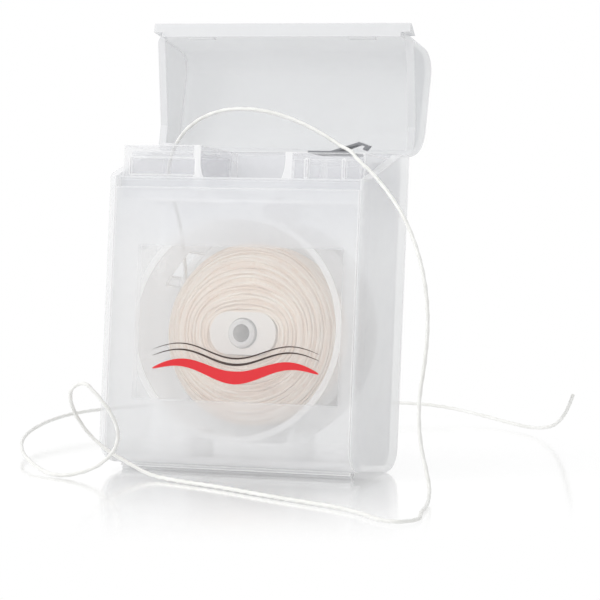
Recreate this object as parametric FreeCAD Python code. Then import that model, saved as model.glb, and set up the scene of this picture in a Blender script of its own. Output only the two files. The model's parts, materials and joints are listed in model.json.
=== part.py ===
import FreeCAD, Part
import math
import os

# A pocket floss dispenser with a flip lid, standing open on a table with a length of floss pulled out.
# All sizes are in millimetres. Every piece is drawn upright in the case's own frame: X to the right,
# Y from the front face to the back, Z up from the flat of the base. At the end the whole dispenser is
# leaned back until it rests on the hinge lip under its front and on its rounded heel, as it really stands.

Vector = FreeCAD.Vector
X_AXIS = Vector(1, 0, 0)
Y_AXIS = Vector(0, 1, 0)
Z_AXIS = Vector(0, 0, 1)

# Case: back, floor and two side walls of one moulding, open at the front and at the top
case_width = 46.0
case_depth = 19.0
back_rim_height = 52.0
back_rim_flat = 4.7
rim_fall = 5.2
side_wall = 1.5
back_wall = 1.1
floor_wall = 1.2
toe_round = 4.4
heel_round = 4.2
edge_round = 1.4

# Clearances and one overrun for all cuts
part_gap = 0.1
running_gap = 0.15
overrun = 2.0

# Film hinge under the front edge: two lips that meet at a bead
sole_hinge_back = 4.9
sole_hinge_drop = 0.83
sole_bead_radius = 0.3
sole_lip_wall = 0.7
sole_lip_gap = 0.15
sole_lip_lift = 0.25
sole_hinge_inset = 1.25

# Film hinge of the lid: a bead on a short leaf along the top of the back wall
lid_hinge_out = 0.25
lid_hinge_rise = 0.08
lid_bead_radius = 0.32
lid_hinge_inset = 2.5
lid_leaf_height = 1.6

# Front cover with its ledge and the neck that the lid closes over
cover_wall = 1.5
cover_drop = 1.7
neck_setback = 1.3
neck_wall = 0.7
neck_rise = 1.8
neck_root = 2.2
rim_bead_out = 0.22
rim_bead_height = 0.45

# Lid, drawn closed and then opened
lid_rise = 6.2
lid_wall = 0.8
lid_side_wall = 1.3
lid_overhang = 0.1
lid_front_round = 4.2
lid_back_round = 5.5
lip_out = 1.6
lip_edge = 0.5
lip_rise = 2.6
lid_open_angle = 99.5
catch_radius = 0.35
catch_length = 4.7
catch_place = 14.4
catch_height = 0.85

# Insert: back plate, bobbin well, hub, finger trough and the two dispensing blocks
insert_wall = 1.0
insert_front = 2.15
well_side_gap = 2.7
well_lift = 2.7
well_front = 1.8
hub_drop = 0.7
hub_radius = 2.4
hub_front = 4.5
hub_wall = 0.9
hub_cap_round = 0.5
block_rise = 0.2
block_drop = 9.0
cutter_step = 1.0
trough_radius = 7.5
trough_drop = 2.35
trough_wall = 0.95
foot_place = 9.0
foot_width = 1.2
foot_depth = 9.0
bridge_width = 8.0
bridge_height = 0.3
thread_gate_width = 4.0
thread_gate_depth = 6.0
thread_gate_height = 7.0

# Eyelet that the floss comes out of, in the left block
eyelet_side_gap = 6.8
eyelet_back = 7.0
eyelet_bore = 1.1
eyelet_radius = 2.0
eyelet_rise = 0.5
eyelet_tilt = 20.0

# Relief on the faces of the blocks
panel_inset = 1.2
panel_height = 2.8
panel_drop = 2.1
panel_depth = 0.55
rib_width = 0.6
rib_out = 0.45
rib_height = 3.2

# Cutter: lanced spring steel
cutter_wall = 0.35
cutter_length = 7.1
cutter_width = 6.4
cutter_front = 3.0
cutter_side_gap = 3.2
tongue_root = 2.9
tongue_width = 2.6
tongue_tip_width = 1.5
tongue_length = 5.1
tongue_rise = 1.65
tongue_hook_out = 1.0
tongue_hook_drop = 0.75
tongue_back = 4.3
lance_gap = 0.3

# Bobbin: an oval plastic sleeve with a round bore, the thread package, and its outer layer as one strand
floss_diameter = 0.6
core_half_width = 5.8
core_half_height = 3.5
core_corner = 0.96
sleeve_front = 5.2
sleeve_back_gap = 0.8
package_room = 3.6
package_front = 5.9
package_back_gap = 0.5
package_round = 3.0
package_back_round = 0.9
strand_gap = 0.15
strand_space = 0.55
strand_inner_radius = 6.5
steps_per_turn = 4

# Clear label on the cover
label_width = 36.2
label_place = 1.1
label_height = 25.4
label_foot = 10.3
label_round = 3.5
label_thickness = 0.12
label_gap = 0.02

# Route of the floss, in the frame of the standing dispenser
arc_route = [
    (-12.4, -4.9, 56.1),
    (-9.2, -4.8, 58.3),
    (-4.6, -4.8, 59.4),
    (1.0, -5.1, 59.3),
    (6.6, -5.6, 57.9),
    (11.4, -6.5, 55.8),
]
rim_route = [
    (18.6, -10.0, 52.95),
    (20.6, -11.4, 51.2),
    (23.8, -13.4, 49.3),
]
tail_route = [
    (28.6, -16.5, 45.3),
    (32.7, -19.6, 40.5),
    (35.9, -22.6, 34.3),
    (37.5, -24.8, 27.8),
    (37.6, -26.2, 21.3),
    (36.9, -27.2, 15.6),
    (37.1, -28.0, 11.1),
    (37.9, -28.9, 7.2),
    (39.2, -30.2, 4.2),
    (40.6, -32.6, 1.9),
    (42.0, -36.9, 0.6),
    (43.9, -43.4, 0.4),
    (45.6, -50.4, 0.4),
    (47.8, -56.4, 0.4),
    (46.4, -60.6, 0.4),
    (42.4, -59.4, 0.4),
    (37.4, -53.2, 0.4),
    (30.6, -47.5, 0.4),
    (23.3, -43.6, 0.4),
    (14.3, -38.2, 0.4),
    (4.9, -32.1, 0.4),
    (-3.2, -28.2, 0.4),
    (-10.5, -24.0, 0.6),
    (-14.6, -23.2, 2.3),
    (-18.1, -23.4, 4.1),
    (-21.0, -23.6, 6.3),
    (-22.7, -24.5, 8.9),
    (-23.5, -25.7, 11.5),
    (-23.1, -27.2, 14.3),
    (-19.9, -28.4, 15.9),
    (-17.3, -28.6, 13.5),
    (-15.2, -28.4, 10.9),
    (-14.0, -28.2, 8.3),
    (-14.2, -28.0, 5.8),
    (-15.9, -27.8, 3.5),
    (-18.7, -27.8, 1.6),
    (-22.4, -28.6, 0.5),
    (-25.6, -28.2, 0.4),
    (-29.4, -25.0, 0.7),
    (-34.4, -19.0, 1.2),
    (-40.0, -10.6, 1.6),
    (-46.1, 1.1, 2.1),
    (-50.5, 14.1, 2.6),
    (-53.0, 28.0, 3.0),
    (-52.8, 38.2, 3.2),
    (-50.4, 46.4, 3.2),
    (-46.7, 55.5, 3.0),
    (-43.0, 68.2, 2.8),
    (-37.6, 79.8, 2.6),
    (-29.5, 85.3, 2.5),
    (-18.9, 84.4, 2.5),
    (-8.8, 82.3, 2.5),
    (-0.8, 82.6, 2.4),
    (7.8, 80.7, 1.4),
    (17.8, 71.8, 0.8),
    (25.5, 63.9, 0.8),
    (31.1, 56.9, 2.0),
    (34.6, 51.0, 3.9),
    (38.2, 43.9, 6.6),
    (41.6, 36.1, 9.9),
]
arc_share = 0.45
drop_share = 0.33
straight_end = 2.0
lead_end = 4.5
lead_shares = [
    (0.02, 0.10, 0.31),
    (0.70, 0.60, 0.63),
]

# Worked out from the sizes above
half_width = case_width / 2
inner_half = half_width - side_wall
cover_half = inner_half - part_gap
front_rim_height = back_rim_height - rim_fall
rim_flat_start = case_depth - back_rim_flat
rim_slope = rim_fall / rim_flat_start
back_inside = case_depth - back_wall
sole_hinge_length = 2 * (inner_half - sole_hinge_inset)
lid_hinge_length = 2 * (half_width - lid_hinge_inset)
cover_height = front_rim_height - cover_drop
lid_height = back_rim_height + lid_rise
sole_axis = Vector(0, sole_hinge_back, -sole_hinge_drop)
lid_axis = Vector(0, case_depth + lid_hinge_out, back_rim_height + lid_hinge_rise)
neck_height = cover_height + neck_rise
insert_half = inner_half - 2 * part_gap
plate_back = back_inside - part_gap
plate_front = plate_back - insert_wall
block_height = back_rim_height + block_rise
block_foot = block_height - block_drop
right_block_height = block_height - cutter_step
trough_outer = trough_radius + trough_wall
trough_height = block_height - trough_drop
trough_foot = trough_height - trough_outer
well_foot = floor_wall + well_lift
well_radius = min(insert_half - well_side_gap, (trough_foot - bridge_height - well_foot) / 2)
well_height = well_foot + well_radius
hub_height = well_height - hub_drop
eyelet_place = insert_half - eyelet_side_gap
cutter_left = insert_half - cutter_side_gap - cutter_length
floss_radius = floss_diameter / 2
sleeve_bore = hub_radius + running_gap
sleeve_back = plate_front - sleeve_back_gap
package_radius = well_radius - insert_wall - package_room
package_back = sleeve_back - package_back_gap
strand_pitch = floss_diameter + strand_space
strand_lift = strand_gap + floss_radius
strand_face = package_front - strand_lift
strand_radius = package_radius + strand_lift
strand_round = package_round + strand_lift
strand_back = package_back - floss_radius
face_run = strand_radius - strand_round - strand_inner_radius
corner_run = strand_round * math.pi / 2
side_run = strand_back - strand_face - strand_round
strand_turns = (face_run + corner_run + side_run) / strand_pitch
hub_axis_point = Vector(0, 0, hub_height)


def box(left, right, front, back, low, high):
    """A block between two X, two Y and two Z values."""
    return Part.makeBox(right - left, back - front, high - low, Vector(left, front, low))


def rod(radius, front, back, x, z):
    """A cylinder along Y."""
    return Part.makeCylinder(radius, back - front, Vector(x, front, z), Y_AXIS)


def bar(radius, length, centre):
    """A cylinder along X, centred on the middle plane."""
    return Part.makeCylinder(radius, length, centre - X_AXIS * (length / 2), X_AXIS)


def outline(corners, place):
    """A closed wire through corners (u, v, radius), each rounded by a tangent arc; place maps u, v into space."""
    edges = []
    ends = []
    for i, (u, v, radius) in enumerate(corners):
        here = Vector(u, v, 0)
        before = Vector(corners[i - 1][0], corners[i - 1][1], 0)
        after = Vector(corners[(i + 1) % len(corners)][0], corners[(i + 1) % len(corners)][1], 0)
        to_before = (before - here).normalize()
        to_after = (after - here).normalize()
        if radius == 0:
            ends.append((here, None, here))
            continue
        half = to_before.getAngle(to_after) / 2
        reach = radius / math.tan(half)
        inward = (to_before + to_after).normalize()
        middle = here + inward * (radius / math.sin(half) - radius)
        ends.append((here + to_before * reach, middle, here + to_after * reach))
    for i, (start, middle, end) in enumerate(ends):
        if middle is not None:
            edges.append(Part.Arc(place(start), place(middle), place(end)).toShape())
        following = ends[(i + 1) % len(ends)][0]
        if (following - end).Length > Part.Precision.confusion():
            edges.append(Part.LineSegment(place(end), place(following)).toShape())
    return Part.Wire(edges)


def side_prism(corners, half):
    """An outline in Y and Z, extruded across X to both sides of the middle plane."""
    wire = outline(corners, lambda p: Vector(-half, p.x, p.y))
    return Part.Face(wire).extrude(X_AXIS * (2 * half))


def front_prism(corners, front, back):
    """An outline in X and Z, extruded along Y."""
    wire = outline(corners, lambda p: Vector(p.x, front, p.y))
    return Part.Face(wire).extrude(Y_AXIS * (back - front))


def side_edges(shape, half, left_out):
    """The edges round the two flat sides, apart from those that left_out picks by the heights of their ends."""
    picked = []
    tiny = Part.Precision.confusion()
    for edge in shape.Edges:
        ends = [v.Point for v in edge.Vertexes]
        at_side = all(abs(abs(p.x) - half) < tiny for p in ends)
        one_side = len({p.x > 0 for p in ends}) == 1
        if at_side and one_side and not left_out([p.z for p in ends]):
            picked.append(edge)
    return picked


def ribbon(points, thickness):
    """Corners of a strip of even thickness whose lower face runs through points."""
    upper = []
    for i, (u, v) in enumerate(points):
        here = Vector(u, v, 0)
        normals = []
        for a, b in ((i - 1, i), (i, i + 1)):
            if 0 <= a and b < len(points):
                along = Vector(points[b][0] - points[a][0], points[b][1] - points[a][1], 0).normalize()
                normals.append(Vector(-along.y, along.x, 0))
        mitre = (normals[0] + normals[-1]).normalize()
        upper.append(here + mitre * (thickness / mitre.dot(normals[0])))
    return [(u, v, 0) for u, v in points] + [(p.x, p.y, 0) for p in reversed(upper)]


def make_case():
    """The back shell: outer form, hollowed, with its half of the sole hinge and the lid's hinge bead."""
    outer = side_prism(
        [
            (0, front_rim_height, 0),
            (0, 0, toe_round),
            (case_depth, 0, heel_round),
            (case_depth, back_rim_height, 0),
            (rim_flat_start, back_rim_height, 0),
        ],
        half_width,
    )
    tiny = Part.Precision.confusion()
    outer = outer.makeFillet(
        edge_round, side_edges(outer, half_width, lambda heights: min(heights) > front_rim_height - tiny)
    )
    top = back_rim_height + overrun
    hollow = side_prism(
        [
            (-overrun, top, 0),
            (-overrun, floor_wall, 0),
            (back_inside, floor_wall, heel_round - floor_wall),
            (back_inside, top, 0),
        ],
        inner_half,
    )
    sill = sole_hinge_back + sole_lip_gap
    doorway = box(-inner_half, inner_half, -overrun, sill, -overrun, top)
    shell = outer.cut(hollow).cut(doorway)
    half_hinge = sole_hinge_length / 2
    lip = box(-half_hinge, half_hinge, sill, sill + sole_lip_wall, -sole_hinge_drop, floor_wall)
    leaf_foot = back_rim_height - lid_leaf_height
    leaf = side_prism(
        [
            (back_inside, leaf_foot, 0),
            (case_depth, leaf_foot, 0),
            (lid_axis.y + lid_bead_radius, lid_axis.z, 0),
            (lid_axis.y, lid_axis.z, 0),
            (case_depth, back_rim_height, 0),
            (back_inside, back_rim_height, 0),
        ],
        lid_hinge_length / 2,
    )
    beads = [
        bar(sole_bead_radius, sole_hinge_length, sole_axis),
        bar(lid_bead_radius, lid_hinge_length, lid_axis),
    ]
    return shell.fuse([lip, leaf] + beads).removeSplitter()


def make_cover():
    """The front cover: a panel that wraps round the toe, with its ledge, neck, rim bead and hinge lip."""
    end = sole_hinge_back - sole_lip_gap
    neck_inside = neck_setback + neck_wall
    bead_front = neck_setback - rim_bead_out
    bead_foot = neck_height - rim_bead_height
    root = cover_height - neck_root
    panel = side_prism(
        [
            (0, cover_height, 0),
            (0, 0, toe_round),
            (end, 0, 0),
            (end, cover_wall, 0),
            (cover_wall, cover_wall, toe_round - cover_wall),
            (cover_wall, root, 0),
            (neck_inside, root + neck_inside - cover_wall, 0),
            (neck_inside, neck_height, 0),
            (bead_front, neck_height, 0),
            (bead_front, bead_foot + rim_bead_out, 0),
            (neck_setback, bead_foot, 0),
            (neck_setback, cover_height, 0),
        ],
        cover_half,
    )
    half_hinge = sole_hinge_length / 2
    lip_foot = sole_lip_lift - sole_hinge_drop
    lip = box(-half_hinge, half_hinge, end - sole_lip_wall, end, lip_foot, cover_wall)
    lip = lip.cut(bar(sole_bead_radius + part_gap, case_width, sole_axis))
    return panel.fuse(lip).removeSplitter()


def make_lid():
    """The lid closed on the rim: domed block, rim cut to the case, hollow, apron, flared lip and catches."""
    front = -lid_overhang
    inside_front = front + lid_wall
    low = cover_height + part_gap
    block_low = low - overrun
    block = side_prism(
        [
            (front, block_low, 0),
            (case_depth, block_low, 0),
            (case_depth, lid_height, lid_back_round),
            (front, lid_height, lid_front_round),
        ],
        half_width,
    )
    block = block.makeFillet(
        edge_round, side_edges(block, half_width, lambda heights: max(heights) < low)
    )
    rim_gap = part_gap
    ahead = front - overrun
    behind = case_depth + overrun
    below = side_prism(
        [
            (ahead, block_low - overrun, 0),
            (behind, block_low - overrun, 0),
            (behind, back_rim_height + rim_gap, 0),
            (rim_flat_start, back_rim_height + rim_gap, 0),
            (ahead, front_rim_height + rim_slope * ahead + rim_gap, 0),
        ],
        half_width + overrun,
    )
    back_inside_lid = case_depth - lid_wall
    hollow = side_prism(
        [
            (inside_front, block_low - overrun, 0),
            (back_inside_lid, block_low - overrun, 0),
            (back_inside_lid, lid_height - lid_wall, lid_back_round - lid_wall),
            (inside_front, lid_height - lid_wall, lid_front_round - lid_wall),
        ],
        half_width - lid_side_wall,
    )
    shell = block.cut(below).cut(hollow)
    apron = box(-cover_half, cover_half, front, inside_front, low, front_rim_height + lid_wall)
    lip = side_prism(
        [
            (front, low, 0),
            (front, low + lip_rise, 0),
            (-lip_out, low + lip_edge, 0),
            (-lip_out, low, 0),
        ],
        half_width,
    )
    catches = []
    for side in (-1, 1):
        middle = Vector(side * catch_place, inside_front, low + catch_height)
        catches.append(
            Part.makeCylinder(catch_radius, catch_length, middle - X_AXIS * (catch_length / 2), X_AXIS)
        )
    lid = shell.fuse([apron, lip] + catches)
    groove = bar(lid_bead_radius + part_gap, lid_hinge_length + 2 * part_gap, lid_axis)
    return lid.cut(groove).removeSplitter()


def make_block(inner, outer, top):
    """One dispensing block of the insert, open below: front plate, top plate and the plate on its outer side."""
    left, right = min(inner, outer), max(inner, outer)
    side = min(outer, outer - math.copysign(insert_wall, outer))
    return [
        box(left, right, insert_front, insert_front + insert_wall, block_foot, top),
        box(left, right, insert_front, plate_back, top - insert_wall, top),
        box(side, side + insert_wall, insert_front, plate_back, block_foot, top),
    ]


def make_insert():
    """The insert: back plate, bobbin well on two feet, hub, finger trough, and the blocks left and right of it."""
    plate = box(-insert_half, insert_half, plate_front, plate_back, block_foot, right_block_height)
    well = rod(well_radius, well_front, plate_back, 0, well_height)
    well_hollow = rod(well_radius - insert_wall, well_front - overrun, plate_front, 0, well_height)
    trough = rod(trough_outer, insert_front, plate_back, 0, trough_height).common(
        box(-trough_outer, trough_outer, insert_front, plate_back, trough_foot, trough_height)
    )
    cheeks = [
        box(-trough_outer, 0, insert_front, plate_back, trough_height, block_height),
        box(0, trough_outer, insert_front, plate_back, trough_height, right_block_height),
    ]
    bridge_foot = well_height + well_radius - insert_wall
    bridge_top = trough_foot + trough_wall
    half_bridge = bridge_width / 2
    bridge = box(-half_bridge, half_bridge, insert_front, plate_back, bridge_foot, bridge_top)
    foot_back = case_depth - heel_round - part_gap
    foot_top = well_height - math.sqrt((well_radius - insert_wall) ** 2 - foot_place ** 2)
    feet = []
    for side in (-1, 1):
        left = side * foot_place - foot_width / 2
        feet.append(
            box(left, left + foot_width, foot_back - foot_depth, foot_back, floor_wall + part_gap, foot_top)
        )
    left_block = make_block(-trough_radius, -insert_half, block_height)
    right_block = make_block(trough_radius, insert_half, right_block_height)
    boss_top = block_height + eyelet_rise
    boss = Part.makeCylinder(
        eyelet_radius, eyelet_rise + insert_wall, Vector(-eyelet_place, eyelet_back, block_height - insert_wall)
    )
    ribs = []
    rib_top = right_block_height - insert_wall
    for left in (cutter_left, cutter_left + cutter_length - rib_width):
        ribs.append(
            box(left, left + rib_width, insert_front - rib_out, insert_front, rib_top - rib_height, rib_top)
        )
    body = plate.fuse([well, trough, bridge] + cheeks + feet + left_block + right_block + [boss] + ribs)
    finger_way = rod(trough_radius, insert_front - overrun, plate_back + overrun, 0, trough_height).fuse(
        box(-trough_radius, trough_radius, insert_front - overrun, plate_back + overrun,
            trough_height, block_height + overrun)
    )
    bore = Part.makeCylinder(
        eyelet_bore, boss_top - block_foot, Vector(-eyelet_place, eyelet_back, block_foot + overrun)
    )
    gate_left = -strand_radius - thread_gate_width / 2
    gate = box(
        gate_left, gate_left + thread_gate_width,
        plate_front - running_gap - thread_gate_depth, plate_front - running_gap,
        well_height + thread_gate_height, well_height + 2 * thread_gate_height,
    )
    panel_top = block_height - panel_drop
    panel = box(
        -insert_half + panel_inset, -trough_outer, insert_front - overrun, insert_front + panel_depth,
        panel_top - panel_height, panel_top,
    )
    body = body.cut([well_hollow, finger_way, bore, gate, panel])
    hub = rod(hub_radius, hub_front, plate_back, 0, hub_height)
    rim = [e for e in hub.Edges if all(abs(v.Point.y - hub_front) < part_gap for v in e.Vertexes)]
    hub = hub.makeFillet(hub_cap_round, rim)
    hub_hollow = rod(hub_radius - hub_wall, hub_front - overrun, plate_front, 0, hub_height)
    return body.fuse(hub.cut(hub_hollow)).removeSplitter()


def make_cutter():
    """The cutter: a flat spring-steel plate with a tapered tongue lanced from it, bent up and hooked at its tip."""
    seat = right_block_height
    back = cutter_front + cutter_width
    plate = box(cutter_left, cutter_left + cutter_length, cutter_front, back, seat, seat + cutter_wall)
    root = cutter_left + tongue_root
    crest = root + tongue_length
    strip = front_prism(
        ribbon(
            [
                (root - cutter_wall, seat),
                (root, seat),
                (crest, seat + tongue_rise),
                (crest + tongue_hook_out, seat + tongue_rise - cutter_wall),
                (crest + tongue_hook_out - cutter_wall, seat + tongue_rise - tongue_hook_drop),
            ],
            cutter_wall,
        ),
        cutter_front,
        back,
    )
    middle = tongue_back + cutter_wall + tongue_width / 2

    def taper(grow, tip):
        """The tongue's outline seen from above, grown by grow on its long sides, as a tall prism."""
        wide = tongue_width / 2 + grow
        narrow = tongue_tip_width / 2 + grow
        points = [
            Vector(root - cutter_wall, middle - wide, seat - overrun),
            Vector(tip, middle - narrow, seat - overrun),
            Vector(tip, middle + narrow, seat - overrun),
            Vector(root - cutter_wall, middle + wide, seat - overrun),
        ]
        face = Part.Face(Part.makePolygon(points + points[:1]))
        return face.extrude(Z_AXIS * (2 * overrun + tongue_rise))

    tongue = strip.common(taper(0, crest + 2 * tongue_hook_out))
    lance = taper(lance_gap, crest).cut(box(cutter_left, root, cutter_front, back, seat - overrun, lid_height))
    return plate.cut(lance).fuse(tongue).removeSplitter()


def core(grow, front, back):
    """The oval form of the sleeve, grown all round by grow."""
    across = core_half_width + grow
    up = core_half_height + grow
    corners = [(-across, -up), (across, -up), (across, up), (-across, up)]
    return front_prism([(x, hub_height + z, core_corner * up) for x, z in corners], front, back)


def make_sleeve():
    """The sleeve that turns on the hub."""
    bore = rod(sleeve_bore, sleeve_front - overrun, sleeve_back + overrun, 0, hub_height)
    return core(0, sleeve_front, sleeve_back).cut(bore)


def make_package():
    """The wound floss under its outer layer, with softly rounded edges."""
    solid = rod(package_radius, package_front, package_back, 0, hub_height)
    for depth, radius in ((package_front, package_round), (package_back, package_back_round)):
        rims = [e for e in solid.Edges if all(abs(v.Point.y - depth) < part_gap for v in e.Vertexes)]
        solid = solid.makeFillet(radius, rims)
    return solid.cut(core(part_gap, package_front - overrun, package_back + overrun))


def strand_state(turn):
    """Centre and direction of the outer strand after so many turns: out over the face, round the edge, then back."""
    run = strand_pitch * turn
    slope = min(max((run - face_run) / strand_round, 0), math.pi / 2)
    radius = strand_inner_radius + min(run, face_run) + strand_round * math.sin(slope)
    depth = strand_face + strand_round * (1 - math.cos(slope)) + max(run - face_run - corner_run, 0)
    angle = math.pi + 2 * math.pi * (strand_turns - turn)
    outward = Vector(math.cos(angle), 0, math.sin(angle))
    around = Vector(math.sin(angle), 0, -math.cos(angle))
    advance = (outward * math.cos(slope) + Y_AXIS * math.sin(slope)) * strand_pitch
    direction = around * (2 * math.pi * radius) + advance
    return hub_axis_point + outward * radius + Y_AXIS * depth, direction.normalize()


def arc_from(start, direction, end):
    """The circular edge that leaves start along direction and ends at end."""
    chord = end - start
    along = Vector(chord).normalize()
    aside = direction - along * direction.dot(along)
    turn = direction.getAngle(along)
    middle = start + chord / 2 + aside.normalize() * (chord.Length / 2 * math.tan(turn / 2))
    return Part.Arc(start, middle, end).toShape()


def biarc(start, start_way, end, end_way):
    """Two tangent arcs from one point and direction to the next."""
    chord = end - start
    ways = start_way + end_way
    spread = 2 * (1 - start_way.dot(end_way))
    along = chord.dot(ways)
    reach = (math.sqrt(along ** 2 + spread * chord.dot(chord)) - along) / spread
    joint = (start + end + (start_way - end_way) * reach) / 2
    first = arc_from(start, start_way, joint)
    last_way = (end - joint) * (2 * (end - joint).dot(end_way) / (end - joint).dot(end - joint)) - end_way
    return [first, arc_from(joint, last_way, end)]


def make_strand():
    """The bobbin's outer layer as one unbroken strand, with straight ends."""
    count = math.ceil(strand_turns * steps_per_turn)
    states = [strand_state(strand_turns * i / count) for i in range(count + 1)]
    first, first_way = states[0]
    last, last_way = states[-1]
    edges = [Part.LineSegment(first - first_way * floss_diameter, first).toShape()]
    for (a, a_way), (b, b_way) in zip(states, states[1:]):
        edges.extend(biarc(a, a_way, b, b_way))
    edges.append(Part.LineSegment(last, last + last_way * floss_diameter).toShape())
    return Part.Wire(edges), states


def tube(path, radius):
    """A round tube along a smooth wire."""
    start = path.OrderedEdges[0]
    way = start.tangentAt(start.FirstParameter)
    ring = Part.Wire(Part.makeCircle(radius, path.OrderedVertexes[0].Point, way))
    return path.makePipeShell([ring], True, False)


def cord_path(points):
    """Straight runs joined by tangent arcs, each as large as its two runs allow; also the arcs' radii."""
    points = [Vector(*p) for p in points]
    edges = []
    radii = []
    place = points[0]
    for before, here, after in zip(points, points[1:], points[2:]):
        to_before = (before - here).normalize()
        to_after = (after - here).normalize()
        half_turn = (math.pi - to_before.getAngle(to_after)) / 2
        reach = arc_share * min((before - here).Length, (after - here).Length)
        radius = reach / math.tan(half_turn)
        inward = (to_before + to_after).normalize()
        middle = here + inward * (radius / math.cos(half_turn) - radius)
        edges.append(Part.LineSegment(place, here + to_before * reach).toShape())
        edges.append(Part.Arc(here + to_before * reach, middle, here + to_after * reach).toShape())
        radii.append(radius)
        place = here + to_after * reach
    edges.append(Part.LineSegment(place, points[-1]).toShape())
    return Part.Wire(edges), radii


def make_label():
    """The clear label: a thin film with rounded corners on the cover's face."""
    left = label_place - label_width / 2
    right = label_place + label_width / 2
    top = label_foot + label_height
    corners = [(left, label_foot), (right, label_foot), (right, top), (left, top)]
    return front_prism([(x, z, label_round) for x, z in corners], -label_gap - label_thickness, -label_gap)


# How the dispenser stands: the table touches the bead of the sole hinge and the round of the heel
heel_centre = Vector(0, case_depth - heel_round, heel_round)
span = heel_centre - sole_axis
lean = math.atan2(span.z, span.y) - math.asin((heel_round - sole_bead_radius) / span.Length)
lean_turn = FreeCAD.Rotation(X_AXIS, -math.degrees(lean))
table_drop = sole_bead_radius - lean_turn.multVec(sole_axis).z

case = make_case()
cover = make_cover()
lid = make_lid()
lid.rotate(lid_axis, X_AXIS, -lid_open_angle)
rigid = {
    "case": case,
    "front_cover": cover,
    "front_label": make_label(),
    "lid": lid,
    "insert": make_insert(),
    "cutter": make_cutter(),
    "bobbin_sleeve": make_sleeve(),
    "bobbin_floss": make_package(),
}
strand_path, strand_states = make_strand()
rigid["bobbin_strand"] = tube(strand_path, floss_radius)

# The origin is on the table, under the middle of the standing dispenser
leaning = FreeCAD.Placement(Vector(), lean_turn)
reach = Part.makeCompound([s.transformed(leaning.toMatrix()) for s in rigid.values()]).optimalBoundingBox()
standing = FreeCAD.Placement(Vector(0, -reach.Center.y, table_drop), lean_turn)


def stand(point):
    """A point of the upright case, in the frame of the standing dispenser."""
    return standing.multVec(point)


# The floss: from the bobbin up to the eyelet, over to the cutter, across the rim, and out over the table
strand_end, strand_way = strand_states[-1]
lead_start = strand_end + strand_way * floss_diameter
in_eyelet = Vector(-eyelet_place, eyelet_back, block_height + (eyelet_rise - insert_wall) / 2)
eyelet_way = FreeCAD.Rotation(Y_AXIS, eyelet_tilt).multVec(Z_AXIS)
lead = in_eyelet - lead_start
lead_points = [lead_start]
for across_share, back_share, up_share in lead_shares:
    lead_points.append(lead_start + Vector(lead.x * across_share, lead.y * back_share, lead.z * up_share))
lead_points += [in_eyelet - eyelet_way * lead_end, in_eyelet]
grip = stand(
    Vector(
        cutter_left + cutter_length - 2 * floss_diameter,
        cutter_front + floss_radius,
        right_block_height + cutter_wall + floss_radius + part_gap,
    )
)
grip_way = (Vector(*rim_route[0]) - grip).normalize()
before_drop = Vector(*rim_route[-1])
drop_start = before_drop + (Vector(*tail_route[0]) - before_drop) * drop_share
routes = {
    "floss_lead": [stand(p) for p in lead_points],
    "floss_arc": [stand(in_eyelet), stand(in_eyelet + eyelet_way * straight_end)]
    + arc_route
    + [grip - grip_way * straight_end, grip],
    "floss_over_rim": [grip] + rim_route + [drop_start],
    "floss_tail": [drop_start] + tail_route,
}

os.makedirs("parts", exist_ok=True)
for name, shape in rigid.items():
    shape.transformed(standing.toMatrix()).exportStep(f"parts/{name}.step")
for name, points in routes.items():
    path, radii = cord_path(points)
    cord = tube(path, floss_radius)
    cord.exportStep(f"parts/{name}.step")
    ideal = math.pi * floss_radius ** 2 * path.Length
    print(f"{name}: {path.Length:.1f} long, radii {min(radii):.1f} to {max(radii):.1f}, "
          f"volume {cord.Volume / ideal:.4f} of section times length")

# The strand's least gap to itself, over points at least half a turn apart
per_turn = 36
centres = [strand_state(i / per_turn)[0] for i in range(int(strand_turns * per_turn) + 1)]
nearest = min((a - b).Length for i, a in enumerate(centres) for b in centres[i + per_turn // 2:])
print(f"bobbin_strand: {strand_turns:.1f} turns, least gap to itself {nearest - floss_diameter:.2f}, "
      f"volume {rigid['bobbin_strand'].Volume / (math.pi * floss_radius ** 2 * strand_path.Length):.4f}")
print(f"lean {math.degrees(lean):.3f} degrees, origin {reach.Center.y:.2f} behind the front face's foot")
for label, point in (("lid hinge", lid_axis), ("sole hinge", sole_axis), ("hub", hub_axis_point)):
    print(f"{label} at {stand(point)}")
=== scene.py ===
import json
import math

import bmesh
import bpy
from mathutils import Matrix, Vector


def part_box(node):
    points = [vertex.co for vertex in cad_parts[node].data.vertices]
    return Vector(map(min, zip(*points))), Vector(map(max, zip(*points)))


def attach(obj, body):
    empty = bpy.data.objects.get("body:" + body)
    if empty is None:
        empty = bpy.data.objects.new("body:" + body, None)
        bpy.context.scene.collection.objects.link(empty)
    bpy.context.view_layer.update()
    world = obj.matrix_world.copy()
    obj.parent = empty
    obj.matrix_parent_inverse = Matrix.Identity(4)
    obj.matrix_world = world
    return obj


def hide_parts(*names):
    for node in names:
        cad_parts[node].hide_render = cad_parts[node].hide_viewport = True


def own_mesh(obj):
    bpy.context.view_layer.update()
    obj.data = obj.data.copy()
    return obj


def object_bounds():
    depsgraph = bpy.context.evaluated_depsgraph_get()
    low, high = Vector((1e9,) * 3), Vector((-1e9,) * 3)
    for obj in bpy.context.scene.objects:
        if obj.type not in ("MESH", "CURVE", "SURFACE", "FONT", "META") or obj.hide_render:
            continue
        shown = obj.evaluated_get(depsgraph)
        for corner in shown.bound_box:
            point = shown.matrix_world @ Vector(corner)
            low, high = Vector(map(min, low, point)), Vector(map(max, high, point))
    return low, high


# The looks of a pocket floss dispenser: frosted plastic, a wound bobbin, a steel cutter and silk floss.
# All lengths are in metres, in the frame of the standing dispenser unless a comment says otherwise.

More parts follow.
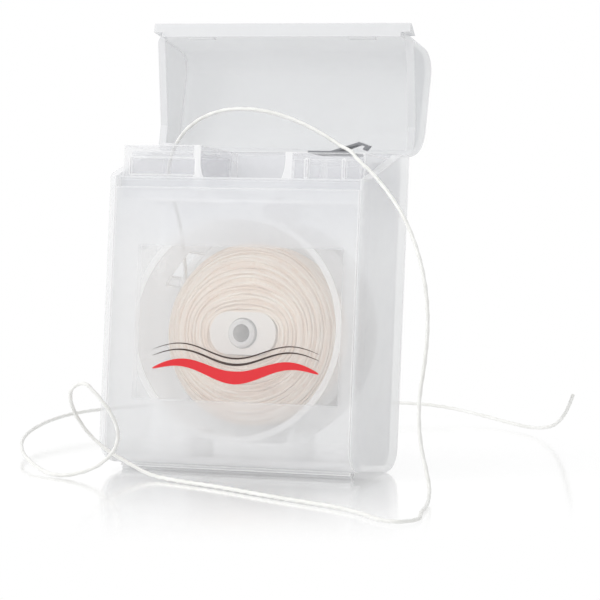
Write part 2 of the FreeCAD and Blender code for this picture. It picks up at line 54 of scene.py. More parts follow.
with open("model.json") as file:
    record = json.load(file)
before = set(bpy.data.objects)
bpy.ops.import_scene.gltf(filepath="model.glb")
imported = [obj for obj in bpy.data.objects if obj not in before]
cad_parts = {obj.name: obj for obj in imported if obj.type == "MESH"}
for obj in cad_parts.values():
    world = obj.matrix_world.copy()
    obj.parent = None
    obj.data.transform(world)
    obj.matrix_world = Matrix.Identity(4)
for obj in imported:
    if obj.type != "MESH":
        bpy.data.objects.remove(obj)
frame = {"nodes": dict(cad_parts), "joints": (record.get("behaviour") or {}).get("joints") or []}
cad_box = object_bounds()
scene = bpy.context.scene
scene.view_settings.view_transform = "Standard"

# Light passes many faces of clear plastic
light_bounces = 24
scene.cycles.max_bounces = light_bounces
scene.cycles.transmission_bounces = light_bounces
scene.cycles.transparent_max_bounces = light_bounces

# Camera at the photograph's view
image_side = 600
focal_pixels = 3502.08
sensor_width = 36.0
camera_target = Vector((0.0091, -0.00778, 0.02827))
camera_distance = 0.568824
camera_azimuth = 22.118
camera_elevation = 4.052
clip_near = 0.01
clip_far = 20.0

# Floss: its form, then the silk's gloss, filaments, and tones that change along it
floss_diameter = 0.0006
floss_sides = 12
floss_lobes = 3
lobe_share = 0.10
twist_pitch = 0.0024
ring_step = 0.00025
spline_steps = 24
least_run = 1e-12
floss_rough = 0.45
floss_sheen = 0.25
sheen_rough = 0.4
filament_scale = 260.0
filament_sway = 1.5
filament_detail = 2.0
filament_bump = 0.25
filament_depth = 0.00005
streak_rate = 160.0
streak_detail = 3.0
streak_low = 0.36
streak_high = 0.66
drawn_pale = (0.89, 0.89, 0.87, 1)
drawn_deep = (0.82, 0.82, 0.79, 1)
wound_pale = (1.0, 0.91, 0.80, 1)
wound_deep = (0.90, 0.70, 0.56, 1)

# Routes of the floss, from the part's source, with the bow's points moved onto the line in the photograph
lead_route = [
    (-0.01445, -0.00018, 0.02224),
    (-0.01445, 0.00002, 0.03144),
    (-0.01448, -0.00301, 0.04129),
    (-0.01604, -0.00553, 0.04832),
    (-0.01450, -0.00506, 0.05252),
]
bow_route = [
    (-0.01450, -0.00506, 0.05252),
    (-0.01352, -0.00495, 0.05437),
    (-0.01173, -0.00490, 0.05628),
    (-0.00881, -0.00480, 0.05808),
    (-0.00495, -0.00480, 0.05912),
    (-0.00050, -0.00500, 0.05919),
    (0.00369, -0.00530, 0.05856),
    (0.00733, -0.00580, 0.05749),
    (0.01085, -0.00650, 0.05612),
    (0.01430, -0.00750, 0.05446),
    (0.01680, -0.00876, 0.05318),
    (0.01870, -0.01008, 0.05280),
    (0.02060, -0.01130, 0.05115),
    (0.02380, -0.01340, 0.04930),
    (0.02538, -0.01442, 0.04798),
]
tail_route = [
    (0.02538, -0.01442, 0.04798),
    (0.02860, -0.01650, 0.04530),
    (0.03270, -0.01960, 0.04050),
    (0.03590, -0.02260, 0.03430),
    (0.03750, -0.02480, 0.02780),
    (0.03760, -0.02620, 0.02130),
    (0.03690, -0.02720, 0.01560),
    (0.03710, -0.02800, 0.01110),
    (0.03790, -0.02890, 0.00720),
    (0.03920, -0.03020, 0.00420),
    (0.04060, -0.03260, 0.00190),
    (0.04200, -0.03690, 0.00060),
    (0.04390, -0.04340, 0.00040),
    (0.04560, -0.05040, 0.00040),
    (0.04780, -0.05640, 0.00040),
    (0.04640, -0.06060, 0.00040),
    (0.04240, -0.05940, 0.00040),
    (0.03740, -0.05320, 0.00040),
    (0.03060, -0.04750, 0.00040),
    (0.02330, -0.04360, 0.00040),
    (0.01430, -0.03820, 0.00040),
    (0.00490, -0.03210, 0.00040),
    (-0.00320, -0.02820, 0.00040),
    (-0.01050, -0.02400, 0.00060),
    (-0.01460, -0.02320, 0.00230),
    (-0.01810, -0.02340, 0.00410),
    (-0.02100, -0.02360, 0.00630),
    (-0.02270, -0.02450, 0.00890),
    (-0.02350, -0.02570, 0.01150),
    (-0.02310, -0.02720, 0.01430),
    (-0.01990, -0.02840, 0.01590),
    (-0.01730, -0.02860, 0.01350),
    (-0.01520, -0.02840, 0.01090),
    (-0.01400, -0.02820, 0.00830),
    (-0.01420, -0.02800, 0.00580),
    (-0.01590, -0.02780, 0.00350),
    (-0.01870, -0.02780, 0.00160),
    (-0.02240, -0.02860, 0.00050),
    (-0.02560, -0.02820, 0.00040),
    (-0.02940, -0.02500, 0.00070),
    (-0.03440, -0.01900, 0.00120),
    (-0.04000, -0.01060, 0.00160),
    (-0.04610, 0.00110, 0.00210),
    (-0.05050, 0.01410, 0.00260),
    (-0.05300, 0.02800, 0.00300),
    (-0.05280, 0.03820, 0.00320),
    (-0.05040, 0.04640, 0.00320),
    (-0.04670, 0.05550, 0.00300),
    (-0.04300, 0.06820, 0.00280),
    (-0.03760, 0.07980, 0.00260),
    (-0.02950, 0.08530, 0.00250),
    (-0.01890, 0.08440, 0.00250),
    (-0.00880, 0.08230, 0.00250),
    (-0.00080, 0.08260, 0.00240),
    (0.00780, 0.08070, 0.00140),
    (0.01780, 0.07180, 0.00080),
    (0.02550, 0.06390, 0.00080),
    (0.03110, 0.05690, 0.00200),
    (0.03460, 0.05100, 0.00390),
    (0.03820, 0.04390, 0.00660),
    (0.04160, 0.03610, 0.00990),
]

# Bobbin, in the upright case's frame: Y runs from the front to the back. The strand's sway and lift wander
# by waves that are given as (waves per turn, weight)
hub_height = 0.0218
core_half_width = 0.0059
core_half_height = 0.0036
core_power = 2.6
oval_fade = 1.4
flat_radius = 0.0070
wound_radius = 0.0146
wound_front = 0.00575
dome_depth = 0.0034
wound_back = 0.0155
heel_depth = 0.0012
strand_radius = 0.00023
strand_sides = 7
face_turns = 25
side_turns = 24
steps_per_turn = 80
outline_steps = 16
body_columns = 128
wander = 0.00055
wander_rate = 2.1
lift_mean = 0.35
lift_swing = 0.55
lift_turn = 1.31
lift_rate = 0.9
lift_seed = 2
wobble_waves = [(1, 0.5), (2, 0.3), (5, 0.15), (9, 0.05)]
wobble_seed = 1.7
wobble_step = 0.61

# Label, with the print's lines as rise above the lowest one, half width and colour
label_fade = 0.0003
label_clear = 0.40
film_white = (0.98, 0.98, 0.98, 1)
film_cover = 0.11
film_rough_low = 0.02
film_rough_high = 0.06
film_rough_scale = 300.0
film_rough_detail = 2.0
film_wave_scale = 60.0
film_wave_detail = 1.0
film_bump = 0.03
film_depth = 0.0002
ink_cover = 0.93
print_margin = 0.0035
print_foot = 0.0052
print_waves = 1.5
print_swing = 0.0011
print_lines = [
    (0.0, 0.00105, (0.78, 0.02, 0.03, 1)),
    (0.0021, 0.00020, (0.06, 0.04, 0.035, 1)),
    (0.0031, 0.00014, (0.06, 0.04, 0.035, 1)),
]

# Plastic: its cloud and frosting, its pale edges and rims, and where the painted shade towards the top begins
# and ends
plastic_ior = 1.45
cloud_scale = 90.0
cloud_detail = 3.0
cover_spread = 0.03
cover_scale = 140.0
cover_detail = 3.0
frost_rough = 0.38
rough_spread = 0.05
rough_scale = 1200.0
rough_detail = 2.0
frost_bump = 0.05
frost_depth = 0.0004
frost_scale = 220.0
frost_detail = 1.0
edge_width = 0.0005
edge_samples = 6
edge_low = 0.80
edge_high = 0.995
rim_share = 0.75
rim_turn_low = 0.40
rim_turn_high = 0.80
rim_height = 0.042
lid_height = 0.075
lid_rim_back = 0.0095
well_rim_top = 0.0458
case_reach = 0.040
trough_reach = 0.0087
# Painted shade that darkens the pieces' tops: where it begins and ends in height, and how far it reaches from
# the middle
painted_shade_low = 0.034
painted_shade_high = 0.044
painted_shade_reach = 0.0212
front = (0, -1, 0)
top = (0, 0, 1)

# Steel, with rolling marks that are drawn out along the plate
steel_pale = (0.33, 0.335, 0.35, 1)
steel_deep = (0.22, 0.225, 0.24, 1)
steel_rough_low = 0.22
steel_rough_high = 0.40
rolling_scale = (60.0, 6000.0, 6000.0)
rolling_detail = 4.0
rolling_bump = 0.15
rolling_depth = 0.00003

# Floor, world and lamps, each lamp as name, place, size and power
floor_radius = 3.0
floor_segments = 96
floor_grey = (0.82, 0.82, 0.82, 1)
floor_gloss = 0.80
floor_rough = 0.12
floor_lift = 0.05
floor_clear = 0.028
floor_fade = 0.095
world_light = 0.72
white = (1, 1, 1, 1)
lamps = [
    ("top_lamp", (-0.10, -0.10, 0.60), 0.60, 0.9),
    ("left_lamp", (-0.55, -0.40, 0.35), 0.45, 1.8),
]


def aim(obj, place, target):
    """Puts obj at place, looking at target."""
    obj.location = place
    obj.rotation_mode = "QUATERNION"
    obj.rotation_quaternion = (target - place).to_track_quat("-Z", "Y")


def make_camera():
    """The camera, from its turn round the object, its height and its distance."""
    data = bpy.data.cameras.new("camera")
    data.sensor_width = sensor_width
    data.lens = focal_pixels * sensor_width / image_side
    data.clip_start = clip_near
    data.clip_end = clip_far
    camera = bpy.data.objects.new("camera", data)
    scene.collection.objects.link(camera)
    turn = math.radians(camera_azimuth)
    tilt = math.radians(camera_elevation)
    back = Vector((math.sin(turn) * math.cos(tilt), -math.cos(turn) * math.cos(tilt), math.sin(tilt)))
    aim(camera, camera_target + back * camera_distance, camera_target)
    scene.camera = camera


def add_object(name, mesh):
    obj = bpy.data.objects.new(name, mesh)
    scene.collection.objects.link(obj)
    return obj


def spline_points(route):
    """Points along the smooth line that has the route's points as its control points."""
    curve = bpy.data.curves.new("route", "CURVE")
    curve.dimensions = "3D"
    spline = curve.splines.new("NURBS")
    spline.points.add(len(route) - 1)
    for point, place in zip(spline.points, route):
        point.co = (*place, 1)
    spline.order_u = 3
    spline.use_endpoint_u = True
    spline.resolution_u = spline_steps
    holder = add_object("route", curve)
    bpy.context.view_layer.update()
    mesh = bpy.data.meshes.new_from_object(holder)
    points = [vertex.co.copy() for vertex in mesh.vertices]
    bpy.data.objects.remove(holder)
    bpy.data.meshes.remove(mesh)
    bpy.data.curves.remove(curve)
    return points


def evenly(points, step):
    """Points at even steps along a line of close points, with the run up to each."""
    runs = [0.0]
    for a, b in zip(points, points[1:]):
        runs.append(runs[-1] + (b - a).length)
    count = max(2, round(runs[-1] / step))
    found = []
    k = 0
    for i in range(count + 1):
        run = runs[-1] * i / count
        while k < len(points) - 2 and runs[k + 1] < run:
            k += 1
        share = (run - runs[k]) / max(runs[k + 1] - runs[k], least_run)
        found.append((points[k].lerp(points[k + 1], min(share, 1.0)), run))
    return found


def sweep(bm, places, profile):
    """Skins a tube with closed ends along places, each a centre and the run up to it.

    The radius there is profile(run, angle).
    """
    centres = [place for place, run in places]
    rings = []
    side = None
    layer = bm.loops.layers.uv.verify()
    sides = profile.sides
    for i, (centre, run) in enumerate(places):
        ahead = centres[min(i + 1, len(centres) - 1)] - centres[max(i - 1, 0)]
        ahead.normalize()
        if side is None:
            side = ahead.orthogonal()
        side = (side - ahead * side.dot(ahead)).normalized()
        other = ahead.cross(side)
        ring = []
        for k in range(sides):
            angle = 2 * math.pi * k / sides
            radius = profile(run, angle)
            ring.append(bm.verts.new(centre + (side * math.cos(angle) + other * math.sin(angle)) * radius))
        rings.append(ring)
    for first, second, (a, run_a), (b, run_b) in zip(rings, rings[1:], places, places[1:]):
        for k in range(sides):
            face = bm.faces.new((first[k], first[(k + 1) % sides], second[(k + 1) % sides], second[k]))
            face.smooth = True
            corners = ((run_a, k), (run_a, k + 1), (run_b, k + 1), (run_b, k))
            for loop, (run, step) in zip(face.loops, corners):
                loop[layer].uv = (run, step / sides)
    for ring in (rings[0][::-1], rings[-1]):
        bm.faces.new(ring)


class Lobed:
    """A twisted strand's section: a round with a few soft lobes that turn along it."""

    def __init__(self, radius, sides, pitch):
        self.radius = radius
        self.sides = sides
        self.pitch = pitch

    def __call__(self, run, angle):
        turn = 2 * math.pi * run / self.pitch
        return self.radius * (1 + lobe_share * math.cos(floss_lobes * angle + turn))


class Round:
    """A plain round section."""

    def __init__(self, radius, sides):
        self.radius = radius
        self.sides = sides

    def __call__(self, run, angle):
        return self.radius


def make_floss(name, route, nodes):
    """One stretch of floss along a route, in place of the part's own nodes."""
    places = evenly(spline_points(route), ring_step)
    bm = bmesh.new()
    sweep(bm, places, Lobed(floss_diameter / 2, floss_sides, twist_pitch))
    mesh = bpy.data.meshes.new(name)
    bm.to_mesh(mesh)
    bm.free()
    floss = add_object(name, mesh)
    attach(floss, "case")
    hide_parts(*nodes)
    return floss


make_camera()
tail = make_floss("floss_pulled_out", tail_route, ["floss_tail"])
bow = make_floss("floss_bow", bow_route, ["floss_arc", "floss_over_rim"])
lead = make_floss("floss_to_eyelet", lead_route, ["floss_lead"])

# The upright case's frame, from the bobbin's joint
spin = next(joint for joint in frame["joints"] if joint["name"] == "bobbin_spin")
spin_axis = Vector(spin["axis"])
lean = math.atan2(-spin_axis.z, spin_axis.y)
standing = (
    Matrix.Translation(Vector(spin["pos_m"]))
    @ Matrix.Rotation(-lean, 4, "X")
    @ Matrix.Translation((0, 0, -hub_height))
)


class Material:
    """A node material round one Principled shader."""

    def __init__(self, name, **values):
        self.data = bpy.data.materials.new(name)
        self.data.use_nodes = True
        self.tree = self.data.node_tree
        self.shader = self.tree.nodes["Principled BSDF"]
        for socket, value in values.items():
            self.shader.inputs[socket.replace("_", " ")].default_value = value

    def node(self, kind, **inputs):
        """A node with constant inputs and links: a value that is an output socket is linked."""
        made = self.tree.nodes.new(kind)
        for key, value in inputs.items():
            self.put(made, key.replace("_", " "), value)
        return made

    def put(self, node, key, value):
        """Sets or links an input of a node, by its name or number."""
        socket = node.inputs[int(key) if key.isdigit() else key]
        if isinstance(value, bpy.types.NodeSocket):
            self.tree.links.new(value, socket)
        else:
            socket.default_value = value

    def feed(self, socket, output):
        """Links an output to an input of the Principled shader."""
        self.tree.links.new(output, self.shader.inputs[socket])

    def coordinates(self, kind="Object"):
        return self.tree.nodes.new("ShaderNodeTexCoord").outputs[kind]

    def noise(self, scale, detail, vector=None):
        """Cloudy values round a half, over the object's coordinates or another vector."""
        made = self.node("ShaderNodeTexNoise", Scale=scale, Detail=detail)
        self.put(made, "Vector", vector if vector is not None else self.coordinates())
        return made.outputs["Fac"]

    def stretched(self, vector, scale):
        """A vector with each of its axes scaled."""
        made = self.node("ShaderNodeMapping")
        self.put(made, "Vector", vector)
        self.put(made, "Scale", scale)
        return made.outputs["Vector"]

    def place(self):
        """The outputs X, Y and Z of a point's place on the object."""
        return self.node("ShaderNodeSeparateXYZ", Vector=self.coordinates()).outputs

    def ramp(self, value, low, high, from_low=0.0, from_high=1.0):
        """A value between low and high, as the given one goes from from_low to from_high."""
        made = self.tree.nodes.new("ShaderNodeMapRange")
        self.put(made, "Value", value)
        self.put(made, "From Min", from_low)
        self.put(made, "From Max", from_high)
        self.put(made, "To Min", low)
        self.put(made, "To Max", high)
        return made.outputs["Result"]

    def math(self, operation, first, second=0.0):
        made = self.tree.nodes.new("ShaderNodeMath")
        made.operation = operation
        self.put(made, "0", first)
        self.put(made, "1", second)
        return made.outputs[0]

    def mix(self, share, first, second):
        """A colour between two, each a constant or an output socket."""
        made = self.tree.nodes.new("ShaderNodeMix")
        made.data_type = "RGBA"
        self.put(made, "0", share)
        self.put(made, "6", first)
        self.put(made, "7", second)
        return made.outputs[2]

    def edges(self, width):
        """One along edges and nought on flats, from how far a rounded normal leaves the true one."""
        rounded = self.node("ShaderNodeBevel", Radius=width)
        rounded.samples = edge_samples
        true = self.tree.nodes.new("ShaderNodeNewGeometry").outputs["Normal"]
        along = self.tree.nodes.new("ShaderNodeVectorMath")
        along.operation = "DOT_PRODUCT"
        self.tree.links.new(rounded.outputs["Normal"], along.inputs[0])
        self.tree.links.new(true, along.inputs[1])
        return self.ramp(along.outputs["Value"], 1.0, 0.0, edge_low, edge_high)

    def rims(self, way, axis, low, high):
        """A share of one on faces that look along way and lie between low and high on an axis."""
        facing = self.tree.nodes.new("ShaderNodeVectorMath")
        facing.operation = "DOT_PRODUCT"
        self.tree.links.new(self.coordinates("Normal"), facing.inputs[0])
        facing.inputs[1].default_value = way
        place = self.place()[axis]
        above = self.math("GREATER_THAN", place, low)
        below = self.math("LESS_THAN", place, high)
        turned = self.ramp(facing.outputs["Value"], 0.0, rim_share, rim_turn_low, rim_turn_high)
        return self.math("MULTIPLY", self.math("MULTIPLY", above, below), turned)

    def bump(self, height, strength, distance):
        made = self.node("ShaderNodeBump", Strength=strength, Distance=distance)
        self.put(made, "Height", height)
        return made.outputs["Normal"]


def plastic(name, pale, deep, cover, edge_tone, edge_cover, rims, painted_shade_tone=None, upper_lift=0.0):
    """Frosted polypropylene: a cloudy, milky wall that hides a share of what is behind each of its faces.

    Its edges gather light and look whiter and denser than the walls, and so do its rims, each given as the
    way it looks, an axis and two places on it. A piece with a painted_shade_tone takes that darker tone,
    painted shade, towards its top, away from its side walls, and hides more there by upper_lift.
    """
    made = Material(name, IOR=plastic_ior)
    edge = made.edges(edge_width)
    for way, axis, low, high in rims:
        edge = made.math("MAXIMUM", edge, made.rims(way, axis, low, high))
    cloud = made.mix(made.noise(cloud_scale, cloud_detail), pale, deep)
    wall = made.ramp(made.noise(cover_scale, cover_detail), cover - cover_spread, cover + cover_spread)
    # Painted shade: towards the top, away from the side walls, the colour darkens to the given tone
    if painted_shade_tone:
        where = made.place()
        inner = made.math("LESS_THAN", made.math("ABSOLUTE", where["X"]), painted_shade_reach)
        painted_shade_share = made.math("MULTIPLY", inner, made.ramp(where["Z"], 0.0, 1.0, painted_shade_low, painted_shade_high))
        cloud = made.mix(painted_shade_share, cloud, painted_shade_tone)
        wall = made.math("ADD", wall, made.math("MULTIPLY", painted_shade_share, upper_lift))
    made.feed("Base Color", made.mix(edge, cloud, edge_tone))
    lift = made.math("MULTIPLY", edge, edge_cover - cover)
    made.feed("Alpha", made.math("ADD", wall, lift))
    grain = made.noise(rough_scale, rough_detail)
    made.feed("Roughness", made.ramp(grain, frost_rough - rough_spread, frost_rough + rough_spread))
    made.feed("Normal", made.bump(made.noise(frost_scale, frost_detail), frost_bump, frost_depth))
    return made


def clear_under_label(made):
    """Where the label's glue fills the frosting, the plastic is clearer."""
    low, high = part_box("front_label")
    where = made.place()
    inside = 1.0
    for axis in ("X", "Z"):
        k = "XYZ".index(axis)
        middle = (low[k] + high[k]) / 2
        half = (high[k] - low[k]) / 2
        away = made.math("SUBTRACT", where[axis], middle)
        near = made.ramp(made.math("ABSOLUTE", away), 1.0, 0.0, half - label_fade, half)
        inside = made.math("MULTIPLY", near, inside)
    frosted = made.shader.inputs["Alpha"].links[0].from_socket
    made.feed("Alpha", made.math("MULTIPLY", frosted, made.ramp(inside, 1.0, label_clear)))


def floss_material(name, pale, deep):
    """Waxed silk: ivory, with paler and deeper stretches along it, and filaments that run along the twist."""
    made = Material(name, Roughness=floss_rough, Sheen_Weight=floss_sheen, Sheen_Roughness=sheen_rough)
    uv = made.coordinates("UV")
    along = made.noise(1.0, streak_detail, made.stretched(uv, (streak_rate, 1.0, 1.0)))
    made.feed("Base Color", made.mix(made.ramp(along, 0.0, 1.0, streak_low, streak_high), pale, deep))
    wave = made.node(
        "ShaderNodeTexWave",
        Vector=uv, Scale=filament_scale, Distortion=filament_sway, Detail=filament_detail,
    )
    wave.bands_direction = "DIAGONAL"
    made.feed("Normal", made.bump(wave.outputs["Fac"], filament_bump, filament_depth))
    return made.data


# Each upper tone below is painted shade, a darker colour towards the piece's top
case_plastic = plastic(
    "frosted_case", pale=(0.88, 0.885, 0.895, 1), deep=(0.835, 0.845, 0.86, 1), cover=0.36,
    edge_tone=(0.90, 0.90, 0.905, 1), edge_cover=0.66, rims=[(top, "Z", rim_height, lid_height)],
    painted_shade_tone=(0.75, 0.76, 0.795, 1), upper_lift=0.08,
)
cover_plastic = plastic(
    "frosted_cover", pale=(0.93, 0.935, 0.945, 1), deep=(0.895, 0.90, 0.91, 1), cover=0.34,
    edge_tone=(0.93, 0.93, 0.935, 1), edge_cover=0.66, rims=[(top, "Z", rim_height, lid_height)],
    painted_shade_tone=(0.86, 0.87, 0.895, 1),
)
clear_under_label(cover_plastic)
lid_plastic = plastic(
    "frosted_lid", pale=(0.75, 0.76, 0.775, 1), deep=(0.70, 0.712, 0.73, 1), cover=0.42,
    edge_tone=(0.78, 0.785, 0.795, 1), edge_cover=0.85, rims=[(front, "Y", -case_reach, lid_rim_back)],
)
insert_plastic = plastic(
    "milky_insert", pale=(0.96, 0.96, 0.96, 1), deep=(0.93, 0.935, 0.94, 1), cover=0.27,
    edge_tone=(0.99, 0.99, 0.99, 1), edge_cover=0.76,
    rims=[(front, "Z", 0.0, well_rim_top), (front, "X", -trough_reach, trough_reach)],
    painted_shade_tone=(0.85, 0.855, 0.88, 1),
)
sleeve_plastic = plastic(
    "sleeve_plastic", pale=(0.975, 0.93, 0.885, 1), deep=(0.955, 0.905, 0.855, 1), cover=0.85,
    edge_tone=(0.985, 0.95, 0.91, 1), edge_cover=0.90, rims=[(front, "Y", -case_reach, case_reach)],
)
drawn_floss = floss_material("waxed_silk", drawn_pale, drawn_deep)
wound_floss = floss_material("wound_silk", wound_pale, wound_deep)


def steel_material():
    """Blued spring steel with fine rolling marks."""
    made = Material("spring_steel", Metallic=1.0)
    marks = made.noise(1.0, rolling_detail, made.stretched(made.coordinates(), rolling_scale))
    made.feed("Base Color", made.mix(marks, steel_pale, steel_deep))
    made.feed("Roughness", made.ramp(marks, steel_rough_low, steel_rough_high))
    made.feed("Normal", made.bump(marks, rolling_bump, rolling_depth))
    return made.data


def label_material():
    """Clear glossy film, printed with a red ribbon and two fine lines that wave like thread."""
    made = Material("clear_film")
    low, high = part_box("front_label")
    where = made.place()
    along = made.ramp(where["X"], 0.0, 1.0, low[0] + print_margin, high[0] - print_margin)
    turn = made.math("MULTIPLY", along, print_waves * 2 * math.pi)
    wave = made.math("MULTIPLY", made.math("SINE", turn), print_swing)
    height = made.math("SUBTRACT", made.math("SUBTRACT", where["Z"], low[2] + print_foot), wave)
    off_middle = made.math("ABSOLUTE", made.math("SUBTRACT", along, 0.5))
    within = made.math("LESS_THAN", off_middle, 0.5)
    swell = made.math("SQRT", made.math("MAXIMUM", made.ramp(off_middle, 1.0, 0.0, 0.0, 0.5), 0.0))
    shade = film_white
    cover = film_cover
    for rise, half, colour in print_lines:
        reach = made.math("ABSOLUTE", made.math("SUBTRACT", height, rise))
        wide = made.math("MULTIPLY", swell, half)
        ink = made.math("MULTIPLY", made.math("LESS_THAN", reach, wide), within)
        shade = made.mix(ink, shade, colour)
        cover = made.math("MAXIMUM", cover, made.math("MULTIPLY", ink, ink_cover))
    made.feed("Base Color", shade)
    made.feed("Alpha", cover)
    smear = made.noise(film_rough_scale, film_rough_detail)
    made.feed("Roughness", made.ramp(smear, film_rough_low, film_rough_high))
    made.feed("Normal", made.bump(made.noise(film_wave_scale, film_wave_detail), film_bump, film_depth))
    return made.data


def dress(node, material):
    """Gives a piece of the part its material."""
    obj = frame["nodes"][node]
    obj.data.materials.clear()
    obj.data.materials.append(material)


dress("case", case_plastic.data)
dress("front_cover", cover_plastic.data)
dress("lid", lid_plastic.data)
dress("insert", insert_plastic.data)
dress("bobbin_sleeve", sleeve_plastic.data)
dress("cutter", steel_material())
dress("front_label", label_material())
for piece in (tail, bow, lead):
    piece.data.materials.append(drawn_floss)


def wound_outline(count):
    """The package's half section, from its core over the domed face and the side to its back.

    Each point is its radius, its depth and the slope there.
    """
    points = [(core_half_width, wound_front, 0.0)]
    for i in range(count + 1):
        t = math.pi / 2 * i / count
        rise = wound_radius - flat_radius
        slope = math.atan2(dome_depth * math.sin(t), rise * math.cos(t))
        points.append((flat_radius + rise * math.sin(t), wound_front + dome_depth * (1 - math.cos(t)), slope))
    for i in range(count + 1):
        t = math.pi / 2 * i / count
        radius = wound_radius - heel_depth * (1 - math.cos(t))
        points.append((radius, wound_back - heel_depth * (1 - math.sin(t)), math.pi / 2 + t))
    return points


def along_outline(outline):
    """A function that gives radius, depth and slope at a share of the outline's length."""
    runs = [0.0]
    for a, b in zip(outline, outline[1:]):
        runs.append(runs[-1] + math.hypot(b[0] - a[0], b[1] - a[1]))

    def at(share):
        run = runs[-1] * min(max(share, 0.0), 1.0)
        k = 0
        while k < len(runs) - 2 and runs[k + 1] < run:
            k += 1
        part = (run - runs[k]) / (runs[k + 1] - runs[k])
        return [a + (b - a) * part for a, b in zip(outline[k], outline[k + 1])]

    return at


def wobble(angle, seed):
    """A smooth, repeatable wander between -1 and 1."""
    total = 0
    for k, weight in wobble_waves:
        total += weight * math.sin(k * angle + seed * (wobble_seed + wobble_step * k))
    return total


def around_hub(radius, depth, angle):
    """A point of the package: loops are round outside and take the oval form of the core towards it."""
    across = abs(math.cos(angle) / core_half_width) ** core_power
    up = abs(math.sin(angle) / core_half_height) ** core_power
    core_share = (across + up) ** (-1 / core_power) / core_half_width
    inward = min(max((wound_radius - radius) / (wound_radius - core_half_width), 0.0), 1.0)
    radius *= 1 - (1 - core_share) * inward ** oval_fade
    return Vector((radius * math.cos(angle), depth, hub_height + radius * math.sin(angle)))


def make_bobbin():
    """The wound package: a body, and its outer layer as one unbroken strand."""
    bm = bmesh.new()
    layer = bm.loops.layers.uv.verify()
    rings = []
    outline = wound_outline(outline_steps)
    surface = along_outline(outline)
    for radius, depth, slope in outline + [(core_half_width, wound_back, 0.0)]:
        ring = []
        for k in range(body_columns):
            angle = 2 * math.pi * k / body_columns
            ring.append(bm.verts.new(around_hub(radius, depth, angle)))
        rings.append(ring)
    rings.append(rings[0])
    for first, second in zip(rings, rings[1:]):
        for k in range(body_columns):
            beside = (k + 1) % body_columns
            face = bm.faces.new((first[k], second[k], second[beside], first[beside]))
            face.smooth = True
            for loop in face.loops:
                loop[layer].uv = (k / body_columns, 0)

    turns = face_turns + side_turns
    places = []
    run = 0.0
    last = None
    for i in range(turns * steps_per_turn + 1):
        turn = i / steps_per_turn
        angle = math.pi - 2 * math.pi * turn
        share = turn / turns
        radius, depth, slope = surface(share)
        sway = wander * wobble(angle, turn * wander_rate)
        rise = wobble(angle * lift_turn, turn * lift_rate + lift_seed)
        lift = strand_radius * (lift_mean + lift_swing * rise)
        radius += math.cos(slope) * sway + math.sin(slope) * lift
        depth += math.sin(slope) * sway - math.cos(slope) * lift
        place = around_hub(radius, depth, angle)
        if last is not None:
            run += (place - last).length
        last = place
        places.append((place, run))
    sweep(bm, places, Round(strand_radius, strand_sides))
    mesh = bpy.data.meshes.new("bobbin_winding")
    bm.to_mesh(mesh)
    bm.free()
    mesh.transform(standing)
    obj = add_object("bobbin_winding", mesh)
    mesh.materials.append(wound_floss)
    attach(obj, "bobbin")
    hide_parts("bobbin_floss", "bobbin_strand")


make_bobbin()
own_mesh(bow)


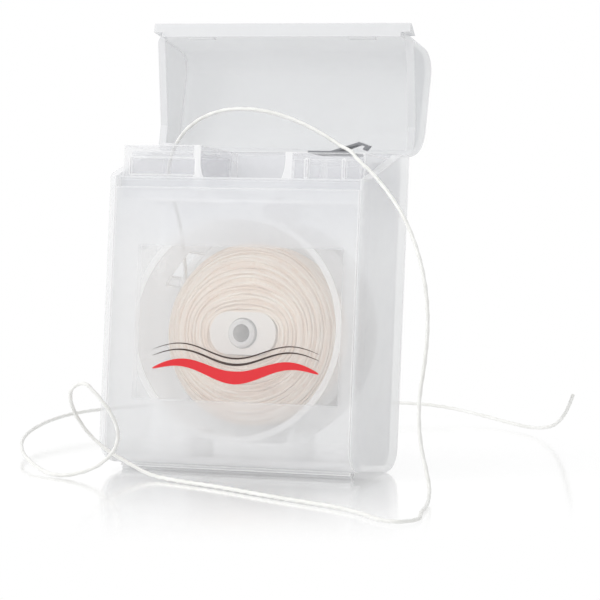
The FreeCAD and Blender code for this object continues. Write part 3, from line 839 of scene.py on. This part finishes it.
def make_floor():
    """A pale table top that takes the shadow and a reflection, and clears to white away from the object."""
    bm = bmesh.new()
    bmesh.ops.create_circle(bm, cap_ends=True, segments=floor_segments, radius=floor_radius)
    mesh = bpy.data.meshes.new("table_top")
    bm.to_mesh(mesh)
    bm.free()
    floor = add_object("table_top", mesh)
    material = bpy.data.materials.new("table_white")
    material.use_nodes = True
    tree = material.node_tree
    tree.nodes.clear()
    output = tree.nodes.new("ShaderNodeOutputMaterial")
    matt = tree.nodes.new("ShaderNodeBsdfDiffuse")
    matt.inputs["Color"].default_value = floor_grey
    gloss = tree.nodes.new("ShaderNodeBsdfAnisotropic")
    gloss.inputs["Color"].default_value = white
    gloss.inputs["Roughness"].default_value = floor_rough
    both = tree.nodes.new("ShaderNodeMixShader")
    both.inputs["Fac"].default_value = floor_gloss
    tree.links.new(matt.outputs[0], both.inputs[1])
    tree.links.new(gloss.outputs[0], both.inputs[2])
    glow = tree.nodes.new("ShaderNodeEmission")
    path = tree.nodes.new("ShaderNodeLightPath")
    lift = tree.nodes.new("ShaderNodeMath")
    lift.operation = "MULTIPLY"
    lift.inputs[1].default_value = floor_lift
    tree.links.new(path.outputs["Is Camera Ray"], lift.inputs[0])
    tree.links.new(lift.outputs[0], glow.inputs["Strength"])
    added = tree.nodes.new("ShaderNodeAddShader")
    tree.links.new(both.outputs[0], added.inputs[0])
    tree.links.new(glow.outputs[0], added.inputs[1])
    blank = tree.nodes.new("ShaderNodeEmission")
    blank.inputs["Strength"].default_value = 1.0
    where = tree.nodes.new("ShaderNodeTexCoord")
    far = tree.nodes.new("ShaderNodeVectorMath")
    far.operation = "LENGTH"
    tree.links.new(where.outputs["Object"], far.inputs[0])
    fade = tree.nodes.new("ShaderNodeMapRange")
    fade.interpolation_type = "SMOOTHSTEP"
    fade.inputs["From Min"].default_value = floor_clear
    fade.inputs["From Max"].default_value = floor_fade
    tree.links.new(far.outputs["Value"], fade.inputs["Value"])
    shade = tree.nodes.new("ShaderNodeMixShader")
    tree.links.new(fade.outputs["Result"], shade.inputs["Fac"])
    tree.links.new(added.outputs[0], shade.inputs[1])
    tree.links.new(blank.outputs[0], shade.inputs[2])
    tree.links.new(shade.outputs[0], output.inputs["Surface"])
    mesh.materials.append(material)


def make_world():
    """White for the camera, reflections and what shows through plastic; a softer light for all else."""
    world = bpy.data.worlds.new("studio")
    scene.world = world
    world.use_nodes = True
    tree = world.node_tree
    ground = tree.nodes["Background"]
    path = tree.nodes.new("ShaderNodeLightPath")
    first = tree.nodes.new("ShaderNodeMath")
    first.operation = "MAXIMUM"
    tree.links.new(path.outputs["Is Camera Ray"], first.inputs[0])
    tree.links.new(path.outputs["Is Glossy Ray"], first.inputs[1])
    second = tree.nodes.new("ShaderNodeMath")
    second.operation = "MAXIMUM"
    tree.links.new(first.outputs[0], second.inputs[0])
    tree.links.new(path.outputs["Is Transmission Ray"], second.inputs[1])
    strength = tree.nodes.new("ShaderNodeMapRange")
    strength.inputs["To Min"].default_value = world_light
    strength.inputs["To Max"].default_value = 1.0
    tree.links.new(second.outputs[0], strength.inputs["Value"])
    tree.links.new(strength.outputs["Result"], ground.inputs["Strength"])
    ground.inputs["Color"].default_value = white


def make_lamps():
    """Round lamps that look at the middle of the part."""
    middle = Vector((0, 0, (cad_box[0].z + cad_box[1].z) / 2))
    for name, place, size, power in lamps:
        data = bpy.data.lights.new(name, "AREA")
        data.shape = "DISK"
        data.size = size
        data.energy = power
        lamp = bpy.data.objects.new(name, data)
        scene.collection.objects.link(lamp)
        aim(lamp, Vector(place), middle)


make_floor()
make_world()
make_lamps()
